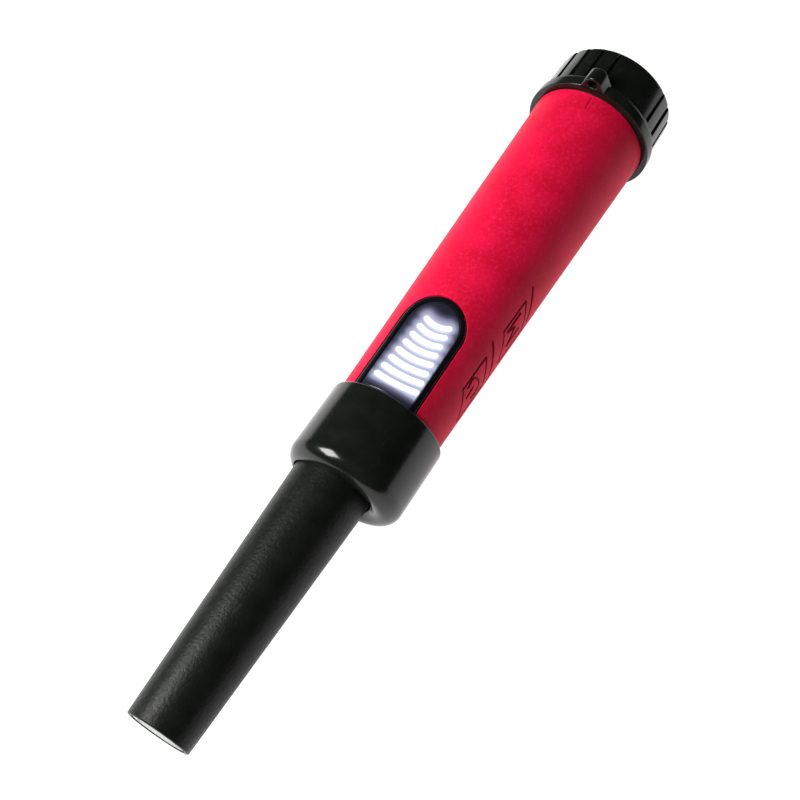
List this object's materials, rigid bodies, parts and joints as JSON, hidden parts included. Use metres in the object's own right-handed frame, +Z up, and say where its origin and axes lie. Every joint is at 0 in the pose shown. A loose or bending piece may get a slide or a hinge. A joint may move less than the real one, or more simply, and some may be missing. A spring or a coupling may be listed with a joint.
{
  "type": "pinpointer probe",
  "caption": "Handheld pinpointing metal detector: tapered sensing tube, collar, barrel grip with lit level window and side buttons, and a screw battery cap with a lanyard lug.",
  "frame": {"origin": "on the surface the tool lies on, under the middle of its length and width", "axes": "+X along the tool towards the sensing tip, +Y towards the side with the buttons, +Z up through the display window and the lanyard lug"},
  "size_m": [0.235, 0.0406, 0.0445],
  "materials": {
    "black_plastic": "satin injection moulding with a fine grain",
    "pale_plastic": "satin wear disc",
    "ferrite": "dull sintered ferrite",
    "natural_nylon": "unfilled nylon",
    "copper_wire": "enamelled winding wire",
    "black_rubber": "matt",
    "red_soft_touch": "soft-touch overmould with a fine grain",
    "red_rubber": "soft-touch keys that match the grip",
    "gloss_black": "polished",
    "smoked_lens": "smoked clear cover, polished",
    "light_bar": "diffusing light guide, lit white",
    "circuit_board": "glass-fibre board with green solder mask",
    "plated_steel": "plated",
    "inner_plastic": "plain moulding",
    "printed_sleeve": "shrink sleeve with no print",
    "brass_weight": "machined",
    "red_wire": "PVC insulation",
    "foam": "closed-cell foam"
  },
  "bodies": {
    "root": {"probe_tube": "black_plastic", "collar": "black_plastic", "inner_housing": "black_plastic", "tip_cap": "pale_plastic", "ferrite_rod": "ferrite", "coil_bobbin": "natural_nylon", "rod_support": "natural_nylon", "transmit_coil": "copper_wire", "receive_coil": "copper_wire", "coil_cable": "black_rubber", "collar_gasket": "black_rubber", "grip_shell": "red_soft_touch", "window_bezel": "gloss_black", "window_lens": "smoked_lens", "led_board": "circuit_board", "main_board": "circuit_board", "power_switch_body": "plated_steel", "light_switch_body": "plated_steel", "front_bulkhead": "inner_plastic", "rear_bulkhead": "inner_plastic", "microcontroller": "inner_plastic", "amplifier_chip": "inner_plastic", "piezo_buzzer": "inner_plastic", "capacitor_1": "printed_sleeve", "capacitor_2": "printed_sleeve", "vibration_motor": "plated_steel", "battery": "printed_sleeve", "battery_terminal_positive": "plated_steel", "battery_terminal_negative": "plated_steel", "snap_connector": "inner_plastic", "battery_lead_red": "red_wire", "battery_lead_black": "black_rubber", "light_bar_1": "light_bar", "light_bar_2": "light_bar", "light_bar_3": "light_bar", "light_bar_4": "light_bar", "light_bar_5": "light_bar", "light_bar_6": "light_bar", "light_bar_7": "light_bar", "light_bar_8": "light_bar", "board_screw_1": "plated_steel", "board_screw_2": "plated_steel", "board_screw_3": "plated_steel", "board_screw_4": "plated_steel"},
    "power_button": {"power_button_pad": "red_rubber", "power_switch_plunger": "natural_nylon"},
    "light_button": {"light_button_pad": "red_rubber", "light_switch_plunger": "natural_nylon"},
    "cap_seal": {"cap_seal_ring": "black_rubber"},
    "battery_cap": {"battery_cap": "black_plastic", "cap_foam_pad": "foam"},
    "vibration_weight": {"motor_shaft": "plated_steel", "eccentric_weight": "brass_weight"}
  },
  "joints": [
    {"name": "power_button_press", "type": "slide", "parent": "root", "child": "power_button", "axis": [0, -0.9848, -0.1736], "range_m": [0, 0.0008], "stiffness_N_per_m": 2000, "springref_m": -0.0004},
    {"name": "light_button_press", "type": "slide", "parent": "root", "child": "light_button", "axis": [0, -0.9848, -0.1736], "range_m": [0, 0.0008], "stiffness_N_per_m": 2000, "springref_m": -0.0004},
    {"name": "cap_travel", "type": "slide", "parent": "root", "child": "cap_seal", "axis": [-1, 0, 0], "range_m": [0, 0.00605]},
    {"name": "cap_turn", "type": "hinge", "parent": "cap_seal", "child": "battery_cap", "pos_m": [0, 0, 0.0203], "axis": [-1, 0, 0], "range_deg": [0, 720]},
    {"name": "vibration_weight_spin", "type": "hinge", "parent": "root", "child": "vibration_weight", "pos_m": [0, -0.00689, 0.01909], "axis": [1, 0, 0], "continuous": true}
  ],
  "couplings": [
    {"joint": "cap_travel", "follows": "cap_turn", "m_per_rad": 0.00047746}
  ]
}
